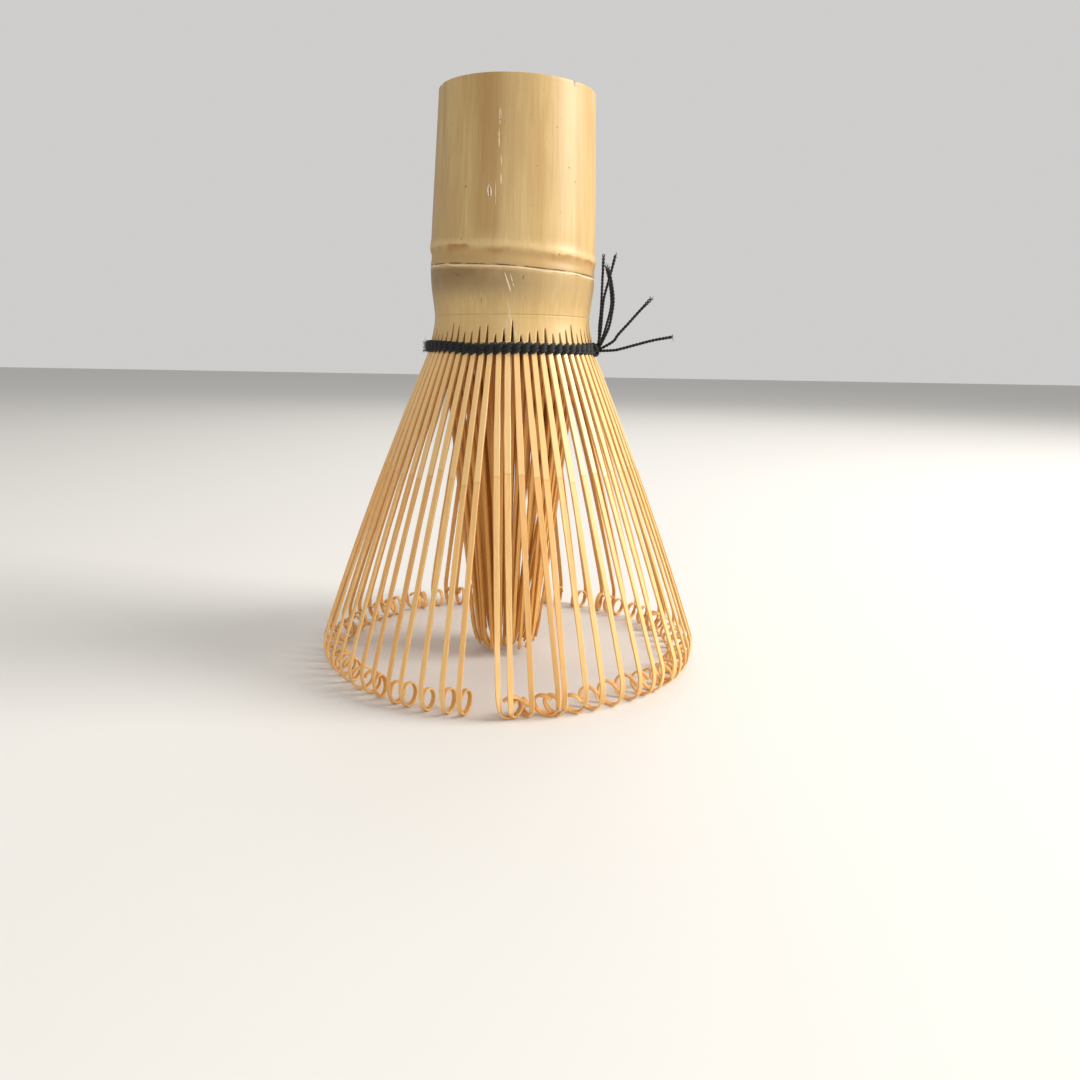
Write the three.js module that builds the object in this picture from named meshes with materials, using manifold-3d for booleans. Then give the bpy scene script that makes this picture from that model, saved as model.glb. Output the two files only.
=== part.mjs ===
// A bamboo tea whisk, standing on the curled tips of its tines, grip upwards.
// Millimetres, +Z up. The origin is on the surface it stands on, under the middle of the grip.
//
// The whisk is one culm of bamboo. Below the node its wall is split into 16 staves. A thread
// twined round the roots parts each stave into an outer layer, which flares out and curls in
// at its tips, and an inner layer, which gathers round the axis. Every layer of every stave
// is a solid of its own here, because it flexes on its own where the thread holds it.
import * as THREE from 'three';
import { mergeVertices } from 'three/addons/utils/BufferGeometryUtils.js';
import Module from 'manifold-3d';

// Counts
const STAVES = 16;
const TINES_PER_STAVE = 4;
const TINES = STAVES * TINES_PER_STAVE;

// Grip: one length of culm, hollow above and below the septum at its node.
const GRIP_LENGTH = 39.4;
const TOP_RADIUS = 12.55;
const RIM_BEVEL = 0.4;
const BORE_RADIUS = 9.2;
const TAPER_DEPTH = 8;
const TAPER_RADIUS = 12.95;
const NODE_DEPTH = 25.4;
const NODE_RADIUS = 13.9;
const NODE_RISE = 2.4;
const NODE_FALL = 1;
const NODE_LIP = 0.3;
const SCAR_DEPTH = 28.3;
const SCAR_RADIUS = 13.82;
const WAIST_DEPTH = 35.4;
const WAIST_RADIUS = 13.15;
const FOOT_RADIUS = 13.8;
const SEPTUM_TOP_DEPTH = 24.6;
const SEPTUM_THICKNESS = 2.4;
const SLOT_WIDTH = 0.5;
const LONG_SLOT = 3.2;
const SHORT_SLOT = 2;
const CUT_CLEARANCE = 1;

// Outer tines: a flare, a shoulder and a curl, three arcs in one radial plane.
const HINGE_DEPTH = 40.7;
const OUTER_ROOT_RADIUS = 13.6;
const FLARE_FROM = 24;
const FLARE_TO = 18.8;
const FLARE_LENGTH = 52.2;
const SHOULDER_RADIUS = 5.5;
const SHOULDER_TO = -20;
const CURL_RADIUS = 1.85;
const CURL_STEP = 35;
const CURL_STEPS = 8;
const OUTER_WIDTH = [0.95, 0.85];
const OUTER_THICKNESS = [0.6, 0.3];

// Inner tines: gathered in three rings round the axis, in the order of RING_OF_TINE.
const INNER_ROOT_RADIUS = 11.4;
const TIP_RINGS = [6.2, 4.4, 2.7];
const RING_OF_TINE = [0, 1, 0, 2];
const INNER_TIP_HEIGHT = 1.6;
const INNER_BULGE = 0.6;
const INNER_WIDTH = [0.7, 0.5];
const INNER_THICKNESS = [0.6, 0.4];

// Roots of the staves, and the clearance between neighbours.
const ROOT_HEIGHT = 1.6;
const OUTER_ROOT_THICKNESS = 0.7;
const INNER_ROOT_THICKNESS = 1;
const GAP = 0.3;

// Thread: the band's half section as [radius, depth], the turns inside it, and the knot.
const BAND_SECTION = [[14.25, 39.4], [14.55, 41.5], [14.8, 41.3], [14.9, 40.5], [14.75, 39.7], [14.5, 39.4]];
const CORE_RADIUS = 12.52;
const CORE_THICKNESS = 0.5;
const KNOT_ANGLE = -17;
const KNOT_RADIUS = 15.8;
const KNOT_DEPTH = 40.4;
const KNOT_SIZE = [1.1, 1.5, 2.1];
const TAIL_RADIUS = 0.25;
const TAIL_SIDES = 6;
const TAIL_STEPS = 8;
const RING_SEGMENTS = 48;

// The free thread ends, fanned out beside the knot: up along the grip, then out sideways.
const TAILS = [
  [[14.5, -3.9, 55.8], [14.5, -3.8, 57.8], [14.7, -3.6, 60.4], [14.8, -3.3, 64.7], [14.9, -3.1, 69.3]],
  [[14.5, -4.7, 55.9], [14.7, -4.7, 58.0], [15.0, -4.5, 62.0], [15.9, -4.2, 65.6], [16.8, -3.9, 69.2]],
  [[15.1, -3.3, 55.8], [15.8, -3.0, 58.1], [16.5, -2.6, 61.4], [16.2, -2.2, 64.7], [15.5, -1.8, 67.7]],
  [[15.2, -5.3, 55.9], [16.0, -5.3, 57.9], [16.5, -5.4, 61.5], [16.2, -5.2, 64.3], [15.5, -5.0, 67.1]],
  [[16.7, -4.9, 55.3], [17.5, -5.0, 56.4], [19.0, -5.2, 58.1], [20.8, -5.6, 60.2], [22.7, -6.0, 62.3]],
  [[16.9, -5.3, 53.9], [18.2, -5.6, 54.2], [20.3, -5.9, 54.8], [23.2, -6.4, 55.6], [26.3, -7.0, 56.2]],
];

const rad = THREE.MathUtils.degToRad;
const lerp = THREE.MathUtils.lerp;

const bamboo = new THREE.MeshStandardMaterial({ color: 0xdcb983, roughness: 0.45, metalness: 0 });
const paleTine = new THREE.MeshStandardMaterial({ color: 0xe9c794, roughness: 0.5, metalness: 0 });
const darkTine = new THREE.MeshStandardMaterial({ color: 0xc79a5a, roughness: 0.55, metalness: 0 });
const thread = new THREE.MeshStandardMaterial({ color: 0x1b1b1f, roughness: 0.8, metalness: 0 });

const wasm = await Module();
wasm.setup();

/** A closed three.js geometry as a solid that can be joined and cut. */
function solid(geometry) {
  const bare = geometry.index ? geometry.toNonIndexed() : geometry.clone();
  bare.deleteAttribute('normal');
  bare.deleteAttribute('uv');
  const merged = mergeVertices(bare, 1e-4);
  return new wasm.Manifold(new wasm.Mesh({
    numProp: 3,
    vertProperties: merged.attributes.position.array,
    triVerts: new Uint32Array(merged.index.array),
  }));
}

/** A solid back as a three.js geometry. */
function geometryOf(body) {
  const mesh = body.getMesh();
  const geometry = new THREE.BufferGeometry();
  geometry.setAttribute('position', new THREE.BufferAttribute(mesh.vertProperties, 3));
  geometry.setIndex(new THREE.BufferAttribute(mesh.triVerts, 1));
  return geometry;
}

/** The point and lean of an arc that starts at `from`, leaning `a` and ending at lean `b`. */
function arcEnd(from, a, b, radius) {
  return {
    r: from.r + radius * (Math.cos(rad(b)) - Math.cos(rad(a))),
    drop: from.drop + radius * (Math.sin(rad(a)) - Math.sin(rad(b))),
    lean: b,
  };
}

/** Stations down an outer tine: radius, drop below the hinge, and lean from the vertical. */
function outerStations() {
  const stations = [{ r: OUTER_ROOT_RADIUS, drop: 0, lean: FLARE_FROM }];
  const advance = (to, radius) => {
    const last = stations[stations.length - 1];
    stations.push(arcEnd(last, last.lean, to, radius));
  };
  const flareRadius = FLARE_LENGTH / rad(FLARE_FROM - FLARE_TO);
  advance((FLARE_FROM + FLARE_TO) / 2, flareRadius);
  advance(FLARE_TO, flareRadius);
  advance((FLARE_TO + SHOULDER_TO) / 2, SHOULDER_RADIUS);
  advance(SHOULDER_TO, SHOULDER_RADIUS);
  for (let i = 1; i <= CURL_STEPS; i += 1) {
    advance(SHOULDER_TO - CURL_STEP * i, CURL_RADIUS);
  }
  return stations;
}

const OUTER_STATIONS = outerStations();
const LOWEST = Math.max(...OUTER_STATIONS.map((s) => s.drop));
const HINGE_Z = LOWEST + OUTER_THICKNESS[1] / 2;
const HEIGHT = HINGE_Z + HINGE_DEPTH;
const fromTop = (depth) => HEIGHT - depth;

/** Stations down an inner tine whose tip is on the ring of radius `tip`, bowed by a sine. */
function innerStations(tip) {
  const length = HINGE_Z - INNER_TIP_HEIGHT;
  return [0, 1 / 3, 2 / 3, 1].map((t) => ({
    r: lerp(INNER_ROOT_RADIUS, tip, t) - INNER_BULGE * Math.sin(Math.PI * t),
    drop: length * t,
    lean: 0,
  }));
}

/** A slat with a rectangular section, tapered and bent along the stations of one tine. */
function tine(stations, width, thickness) {
  const steps = stations.length - 1;
  const slat = new THREE.BoxGeometry(1, 1, steps, 1, 1, steps);
  const at = slat.attributes.position;
  for (let i = 0; i < at.count; i += 1) {
    const step = Math.round(steps / 2 - at.getZ(i));
    const { r, drop, lean } = stations[step];
    const out = at.getX(i) * lerp(...thickness, step / steps);
    const across = at.getY(i) * lerp(...width, step / steps);
    at.setXYZ(i, r + out * Math.cos(rad(lean)), across, HINGE_Z - drop + out * Math.sin(rad(lean)));
  }
  return slat;
}

/** The block that a stave's tines grow from: a sector of a ring at the height of the thread. */
function rootBlock(radius, thickness) {
  const half = Math.PI / STAVES - GAP / 2 / radius;
  const outline = new THREE.Shape();
  outline.absarc(0, 0, radius + thickness / 2, -half, half, false);
  outline.absarc(0, 0, radius - thickness / 2, half, -half, true);
  const block = new THREE.ExtrudeGeometry(outline, {
    depth: ROOT_HEIGHT,
    bevelEnabled: false,
    curveSegments: 3,
  });
  const top = fromTop(GRIP_LENGTH) - GAP;
  return block.translate(0, 0, top - ROOT_HEIGHT);
}

/** One layer of a stave, centred on +X: its root block with its tines joined on. */
function stave(radius, thickness, tineOf) {
  let body = solid(rootBlock(radius, thickness));
  for (let i = 0; i < TINES_PER_STAVE; i += 1) {
    const angle = (i - (TINES_PER_STAVE - 1) / 2) * (2 * Math.PI / TINES);
    body = body.add(solid(tineOf(i).rotateZ(angle)));
  }
  return geometryOf(body);
}

/** A half section of [radius, height] corners, turned round the whisk's axis. */
function turned(corners) {
  const profile = corners.map(([r, z]) => new THREE.Vector2(r, z));
  return new THREE.LatheGeometry(profile, RING_SEGMENTS).rotateX(Math.PI / 2);
}

/** The grip: turned from its half section, then slotted between all the tines at its foot. */
function grip() {
  const rise = (depth, radius) => [radius, fromTop(depth)];
  const septumFoot = SEPTUM_TOP_DEPTH + SEPTUM_THICKNESS;
  const profile = [
    rise(septumFoot, 0),
    rise(septumFoot, BORE_RADIUS),
    rise(GRIP_LENGTH, BORE_RADIUS),
    rise(GRIP_LENGTH, FOOT_RADIUS),
    rise(WAIST_DEPTH, WAIST_RADIUS),
    rise(SCAR_DEPTH, SCAR_RADIUS),
    rise(NODE_DEPTH + NODE_FALL, NODE_RADIUS - NODE_LIP),
    rise(NODE_DEPTH, NODE_RADIUS),
    rise(NODE_DEPTH - NODE_RISE, NODE_RADIUS - NODE_LIP),
    rise(TAPER_DEPTH, TAPER_RADIUS),
    rise(RIM_BEVEL, TOP_RADIUS),
    rise(0, TOP_RADIUS - RIM_BEVEL),
    rise(0, BORE_RADIUS),
    rise(SEPTUM_TOP_DEPTH, BORE_RADIUS),
    rise(SEPTUM_TOP_DEPTH, 0),
  ];
  let body = solid(turned(profile));
  for (let i = 0; i < TINES; i += 1) {
    const long = i % TINES_PER_STAVE === 0;
    body = body.subtract(solid(slot(long ? LONG_SLOT : SHORT_SLOT, i * (360 / TINES))));
  }
  return geometryOf(body);
}

/** A pointed slot, cut up into the foot of the grip along a radius. */
function slot(length, angle) {
  const foot = fromTop(GRIP_LENGTH) - CUT_CLEARANCE;
  const outline = new THREE.Shape([
    new THREE.Vector2(-SLOT_WIDTH / 2, foot),
    new THREE.Vector2(SLOT_WIDTH / 2, foot),
    new THREE.Vector2(0, foot + CUT_CLEARANCE + length),
  ]);
  const reach = FOOT_RADIUS - BORE_RADIUS + 2 * CUT_CLEARANCE;
  const wedge = new THREE.ExtrudeGeometry(outline, { depth: reach, bevelEnabled: false });
  wedge.rotateX(Math.PI / 2);
  wedge.translate(0, BORE_RADIUS - CUT_CLEARANCE + reach, 0);
  return wedge.rotateZ(rad(angle - 90));
}

/** The twined thread that shows outside the roots, following their flare. */
function bindingBand() {
  const corners = BAND_SECTION.map(([r, depth]) => [r, fromTop(depth)]);
  return turned([...corners, corners[0]]);
}

/** The turns of thread between the two layers of tines. */
function bindingCore() {
  const inner = CORE_RADIUS - CORE_THICKNESS / 2;
  const outer = CORE_RADIUS + CORE_THICKNESS / 2;
  const top = fromTop(GRIP_LENGTH) - GAP;
  return turned([
    [inner, top - ROOT_HEIGHT],
    [outer, top - ROOT_HEIGHT],
    [outer, top],
    [inner, top],
    [inner, top - ROOT_HEIGHT],
  ]);
}

/** The knot that ends the twining. */
function knot() {
  const ball = new THREE.SphereGeometry(0.5, 8, 6);
  ball.scale(...KNOT_SIZE);
  ball.translate(KNOT_RADIUS, 0, fromTop(KNOT_DEPTH));
  return ball.rotateZ(rad(KNOT_ANGLE));
}

/** A free end of the thread, as a tube along its own curve. */
function tail(points) {
  const route = new THREE.CatmullRomCurve3(points.map((p) => new THREE.Vector3(...p)));
  const section = new THREE.Shape();
  for (let i = 0; i <= TAIL_SIDES; i += 1) {
    const turn = (2 * Math.PI * i) / TAIL_SIDES;
    const method = i === 0 ? 'moveTo' : 'lineTo';
    section[method](TAIL_RADIUS * Math.cos(turn), TAIL_RADIUS * Math.sin(turn));
  }
  return new THREE.ExtrudeGeometry(section, { steps: TAIL_STEPS, extrudePath: route });
}

const whisk = new THREE.Group();

function place(name, geometry, material, turn = 0) {
  const mesh = new THREE.Mesh(geometry, material);
  mesh.name = name;
  mesh.rotation.z = turn;
  whisk.add(mesh);
}

const outerStave = stave(OUTER_ROOT_RADIUS, OUTER_ROOT_THICKNESS, () =>
  tine(OUTER_STATIONS, OUTER_WIDTH, OUTER_THICKNESS));
const innerStave = stave(INNER_ROOT_RADIUS, INNER_ROOT_THICKNESS, (i) =>
  tine(innerStations(TIP_RINGS[RING_OF_TINE[i]]), INNER_WIDTH, INNER_THICKNESS));

place('handle_culm', grip(), bamboo);
for (let i = 0; i < STAVES; i += 1) {
  const number = String(i + 1).padStart(2, '0');
  const turn = ((i + 0.5) / STAVES) * 2 * Math.PI;
  place(`outer_stave_${number}`, outerStave, paleTine, turn);
  place(`inner_stave_${number}`, innerStave, darkTine, turn);
}
place('binding_band', bindingBand(), thread);
place('binding_core', bindingCore(), thread);
place('binding_knot', knot(), thread);
TAILS.forEach((points, i) => place(`thread_tail_${i + 1}`, tail(points), thread));

export default whisk;
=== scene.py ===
import math

import bpy
import numpy as np
from mathutils import Matrix, Vector


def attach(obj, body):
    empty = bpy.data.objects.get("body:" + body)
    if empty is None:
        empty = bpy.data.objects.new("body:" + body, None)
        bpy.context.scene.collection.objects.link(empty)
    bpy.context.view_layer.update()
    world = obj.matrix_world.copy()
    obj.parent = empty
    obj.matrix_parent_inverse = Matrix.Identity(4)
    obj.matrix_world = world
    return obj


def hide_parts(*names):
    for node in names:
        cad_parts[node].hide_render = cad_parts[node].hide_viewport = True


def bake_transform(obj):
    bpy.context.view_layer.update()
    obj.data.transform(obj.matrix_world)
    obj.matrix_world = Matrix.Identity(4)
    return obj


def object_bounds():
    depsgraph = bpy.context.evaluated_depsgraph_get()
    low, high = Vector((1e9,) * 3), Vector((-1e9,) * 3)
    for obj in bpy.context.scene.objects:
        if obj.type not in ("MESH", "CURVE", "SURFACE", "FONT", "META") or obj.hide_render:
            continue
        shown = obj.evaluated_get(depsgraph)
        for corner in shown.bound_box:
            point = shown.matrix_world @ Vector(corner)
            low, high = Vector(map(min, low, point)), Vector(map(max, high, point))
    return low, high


# A bamboo tea whisk standing on its curled tines. One culm of bamboo makes the grip and all
# the tines; a black thread is twined round the roots of the tines.
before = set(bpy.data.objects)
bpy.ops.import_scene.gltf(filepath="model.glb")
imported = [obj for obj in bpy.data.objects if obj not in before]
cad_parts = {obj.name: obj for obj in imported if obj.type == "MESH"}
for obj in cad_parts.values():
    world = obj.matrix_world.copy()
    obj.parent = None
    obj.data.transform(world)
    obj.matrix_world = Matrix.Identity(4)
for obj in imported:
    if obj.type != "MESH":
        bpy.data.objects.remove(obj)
cad_low, cad_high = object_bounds()
MM = 0.001
STAVES = 16
TINES_PER_STAVE = 4
TINES = STAVES * TINES_PER_STAVE
TURN = 2 * math.pi
PITCH = TURN / TINES
HEIGHT = cad_high.z / MM
rng = np.random.default_rng(16)


def add_object(name, data):
    """A new object in the scene."""
    obj = bpy.data.objects.new(name, data)
    bpy.context.scene.collection.objects.link(obj)
    return obj


# ---- camera

CAMERA_LENS = 28.59
CAMERA_PLACE = (0, -0.15063, 0.05302)
CAMERA_ANGLES = (12.212, 2.04, 1.031)


def make_camera():
    """A close view from the front, tilted down, turned right and rolled by the three angles."""
    data = bpy.data.cameras.new("camera")
    data.sensor_width = 36
    data.lens = CAMERA_LENS
    data.clip_start = 0.01
    data.clip_end = 10
    obj = add_object("camera", data)
    pitch, yaw, roll = (math.radians(a) for a in CAMERA_ANGLES)
    reach = math.cos(pitch)
    forward = np.array([math.sin(yaw) * reach, math.cos(yaw) * reach, -math.sin(pitch)])
    level = np.array([math.cos(yaw), -math.sin(yaw), 0.0])
    above = np.cross(level, forward)
    right = math.cos(roll) * level + math.sin(roll) * above
    up = -math.sin(roll) * level + math.cos(roll) * above
    turn = Matrix([[right[i], up[i], -forward[i]] for i in range(3)])
    obj.matrix_world = Matrix.Translation(CAMERA_PLACE) @ turn.to_4x4()
    bpy.context.scene.camera = obj


# ---- meshes

def grid_faces(rows, columns, wrap):
    """Quads between neighbouring rows and columns; wrap also joins the last column to the first."""
    spans = columns if wrap else columns - 1
    i, j = np.meshgrid(np.arange(rows - 1), np.arange(spans), indexing="ij")
    k = (j + 1) % columns
    here, below = i * columns, (i + 1) * columns
    quads = np.stack([here + j, here + k, below + k, below + j], -1)
    return quads.reshape(-1, 4)


def build(name, points, faces, uv=None, attributes=None, materials=(), material_of_face=None,
          flat=None, crisp=0):
    """An object from an (n, 3) array of points in millimetres and a list of polygons. flat marks
    faces shaded flat; crisp is the number of points in a section whose long edges stay sharp."""
    mesh = bpy.data.meshes.new(name)
    mesh.from_pydata((points * MM).tolist(), [], [list(map(int, f)) for f in faces])
    shaded = np.ones(len(mesh.polygons), bool) if flat is None else ~np.asarray(flat, bool)
    mesh.polygons.foreach_set("use_smooth", shaded)
    if crisp:
        ends = np.zeros(len(mesh.edges) * 2, np.int32)
        mesh.edges.foreach_get("vertices", ends)
        ends = ends.reshape(-1, 2)
        sharp = mesh.attributes.new("sharp_edge", "BOOLEAN", "EDGE")
        sharp.data.foreach_set("value", np.abs(ends[:, 1] - ends[:, 0]) == crisp)
    if uv is not None:
        layer = mesh.uv_layers.new(name="UVMap")
        loops = np.zeros(len(mesh.loops), np.int32)
        mesh.loops.foreach_get("vertex_index", loops)
        layer.data.foreach_set("uv", uv[loops].astype(np.float32).ravel())
    for key, values in (attributes or {}).items():
        attribute = mesh.attributes.new(key, "FLOAT", "POINT")
        attribute.data.foreach_set("value", np.asarray(values, np.float32).ravel())
    for material in materials:
        mesh.materials.append(material)
    if material_of_face is not None:
        mesh.polygons.foreach_set("material_index", np.asarray(material_of_face, np.int32))
    mesh.update()
    return add_object(name, mesh)


class Solids:
    """Closed solids gathered into one mesh."""

    def __init__(self):
        self.points, self.faces, self.uv, self.values, self.count = [], [], [], {}, 0

    def add(self, grid, uv=None, **values):
        """A tube given as rows of section points, closed at both ends by a face."""
        rows, columns = grid.shape[:2]
        quads = grid_faces(rows, columns, True) + self.count
        first = np.arange(columns) + self.count
        ends = [first[::-1], first + (rows - 1) * columns]
        middle = grid.mean(1)
        area = np.cross(grid - middle[:, None], np.roll(grid, -1, 1) - middle[:, None]).sum(1)
        way = 1 if (area * np.gradient(middle, axis=0)).sum() > 0 else -1
        self.faces += quads[:, ::way].tolist() + [end[::way].tolist() for end in ends]
        self.points.append(grid.reshape(-1, 3))
        self.uv.append(np.zeros((rows * columns, 2)) if uv is None else uv.reshape(-1, 2))
        for key, value in values.items():
            self.values.setdefault(key, []).append(np.broadcast_to(value, (rows, columns)).ravel())
        self.count += rows * columns

    def build(self, name, materials, crisp=0):
        """One object made of all the solids added so far."""
        values = {k: np.concatenate(v) for k, v in self.values.items()}
        points, uv = np.concatenate(self.points), np.concatenate(self.uv)
        return build(name, points, self.faces, uv, values, materials, crisp=crisp)


def unit(v):
    """Vectors scaled to length one."""
    return v / np.maximum(np.linalg.norm(v, axis=-1, keepdims=True), 1e-12)


def made_square(vectors, tangent):
    """Unit vectors turned square to the tangents."""
    return unit(vectors - tangent * (vectors * tangent).sum(-1, keepdims=True))


def circles(path, radius, angle, first, second):
    """A circle round each point of a path, in the plane of two side vectors."""
    c, s = np.cos(angle)[None, :, None], np.sin(angle)[None, :, None]
    return path[:, None] + radius * (c * first[:, None] + s * second[:, None])


def section_uv(side, along, shape):
    """Texture places for rows of a section: side goes round it and along down the path."""
    return np.stack([np.broadcast_to(side, shape), np.broadcast_to(along[:, None], shape)], -1)


def path_length(centre):
    """The distance along a path from its first point."""
    return np.concatenate([[0], np.cumsum(np.linalg.norm(np.diff(centre, axis=0), axis=1))])


def out_and_along(angle):
    """Unit vectors away from the axis and round it, at an angle."""
    c, s = math.cos(angle), math.sin(angle)
    return np.array([c, s, 0]), np.array([-s, c, 0])


def tube(path, radius, sides):
    """Rows of a round section carried along a path: each ring's axes are the path's tangent
    crossed with a side vector that is carried along and kept square to the path."""
    tangent = unit(np.gradient(path, axis=0))
    side = unit(np.cross(tangent[0], [0.3, 0.2, 1.0]))
    sides_of = np.empty_like(path)
    for i, t in enumerate(tangent):
        side = unit(side - t * (side @ t))
        sides_of[i] = side
    other = np.cross(tangent, sides_of)
    angle = np.arange(sides) * TURN / sides
    radius = np.broadcast_to(radius, len(path))[:, None, None]
    return circles(path, radius, angle, sides_of, other)


def smooth_path(knots, count):
    """A Catmull-Rom curve through the knots, sampled at count points."""
    knots = np.asarray(knots, float)
    ends = np.vstack([2 * knots[0] - knots[1], knots, 2 * knots[-1] - knots[-2]])
    t = np.linspace(0, len(knots) - 1 - 1e-9, count)
    i = t.astype(int)
    f = (t - i)[:, None]
    p0, p1, p2, p3 = (ends[i + k] for k in range(4))
    square, cube = 2 * p0 - 5 * p1 + 4 * p2 - p3, 3 * p1 - p0 - 3 * p2 + p3
    return 0.5 * (2 * p1 + (p2 - p0) * f + square * f**2 + cube * f**3)


def waves(angle, seed, highest=9):
    """A smooth random function round a circle: a sum of sines of whole orders, about -1 to 1."""
    dice = np.random.default_rng(seed)
    orders = np.arange(1, highest + 1)
    phase = dice.uniform(0, TURN, highest)
    weight = dice.uniform(0.4, 1, highest) / orders**0.7
    total = np.sin(np.multiply.outer(angle, orders) + phase) @ weight
    return total / np.sqrt((weight**2).sum() / 2) / 2


# ---- culm

GRIP_COLUMNS = 320
FOOT_DEPTH = 35.3
FINGER_DEPTH = 40.3
BORE_RADIUS = 9.2
SEPTUM_LOWER, SEPTUM_UPPER = 27.0, 24.6
FINGER_COLUMNS = 9
# The plain outline of the grip: depths below the cut end, and the outer radius at each.
OUTLINE_DEPTHS = [0, 8.2, 17.4, 22.5, 25.5, 27.6, 30.4, 32.4, 34.0, 35.4, 36.6, 38.4, 40.3]
OUTLINE_RADII = [12.62, 12.98, 13.4, 13.62, 13.66, 13.76, 13.66, 13.42, 13.2, 13.08, 13.16,
                 13.5, 14.0]


def outline(depth):
    """The culm's plain outer radius at a depth below its cut end: the knots above, joined by
    straight lines and averaged over 1.8 mm so that no corner is left."""
    offsets = np.linspace(-0.9, 0.9, 13)
    kernel = np.cos(offsets / 0.9 * math.pi / 2)
    stacked = [np.interp(np.clip(depth + offset, 0, None), OUTLINE_DEPTHS, OUTLINE_RADII)
               for offset in offsets]
    return np.tensordot(kernel / kernel.sum(), np.array(stacked), 1)


def node_depth(angle):
    """The node ring's depth: it slants down to the right, with a little waviness."""
    return 25.45 + 0.9 * np.cos(angle) + 0.08 * waves(angle, 3, 7)


def scar_depth(angle):
    """The sheath scar's depth: it slants as the node does, and wanders a little."""
    return 28.35 + 0.8 * np.cos(angle) + 0.1 * waves(angle, 5, 14)


def cut_depth(angle):
    """The saw cut is not quite square: it lies lowest at the front right."""
    return 0.35 * (1 + np.cos(angle + 1.1)) + 0.02 * waves(angle, 11, 24)


def settle(depth, angle):
    """Depths near the cut end pushed down to follow it, fading out over 22 mm."""
    return depth + cut_depth(angle) * np.clip(1 - depth / 22, 0, 1) ** 2


def bell(value, middle, width):
    """A Gaussian bump, 1 at its middle."""
    return np.exp(-((value - middle) / width) ** 2)


def culm_radius(depth, angle):
    """Outer radius: the outline, plus a Gaussian ridge at the node, less a groove under it,
    plus a thin lip with a sharp gap above it at the scar, and shallow ridges along the culm."""
    below_node = depth - node_depth(angle)
    below_scar = depth - scar_depth(angle)
    ridge = 0.2 * bell(below_node, -0.2, 0.9) - 0.14 * bell(below_node, 1.3, 0.8)
    lip = 0.07 * bell(below_scar, 0, 0.13) - 0.09 * bell(below_scar, -0.24, 0.1)
    flat = 0.05 * waves(angle, 8, 4) + 0.012 * waves(angle, 9, 40)
    return outline(depth) + ridge + lip + flat * np.clip((40 - depth) / 8, 0, 1)


def rim_chips(angle):
    """How far the outer edge of the cut end is chipped away, in mm, round the rim."""
    chips = [(-47, 1.6, 0.3), (-19, 1.8, 0.4), (118, 3.0, 0.4), (200, 2, 0.3)]
    turn = np.degrees(angle)
    away = sum(size * np.exp(-(((turn - at + 180) % 360 - 180) / width) ** 4)
               for at, width, size in chips)
    return away + 0.02 * (1 + waves(angle, 21, 30))


def place_rows(radius, depth, angle):
    """Grid points from radius, depth and angle. Above the node the culm leans to the
    right, evenly, by 0.45 mm in all."""
    lean = 0.45 * np.clip(1 - depth / 25, 0, 1)
    return np.stack([radius * np.cos(angle) + lean, radius * np.sin(angle), HEIGHT - depth], -1)


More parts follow.
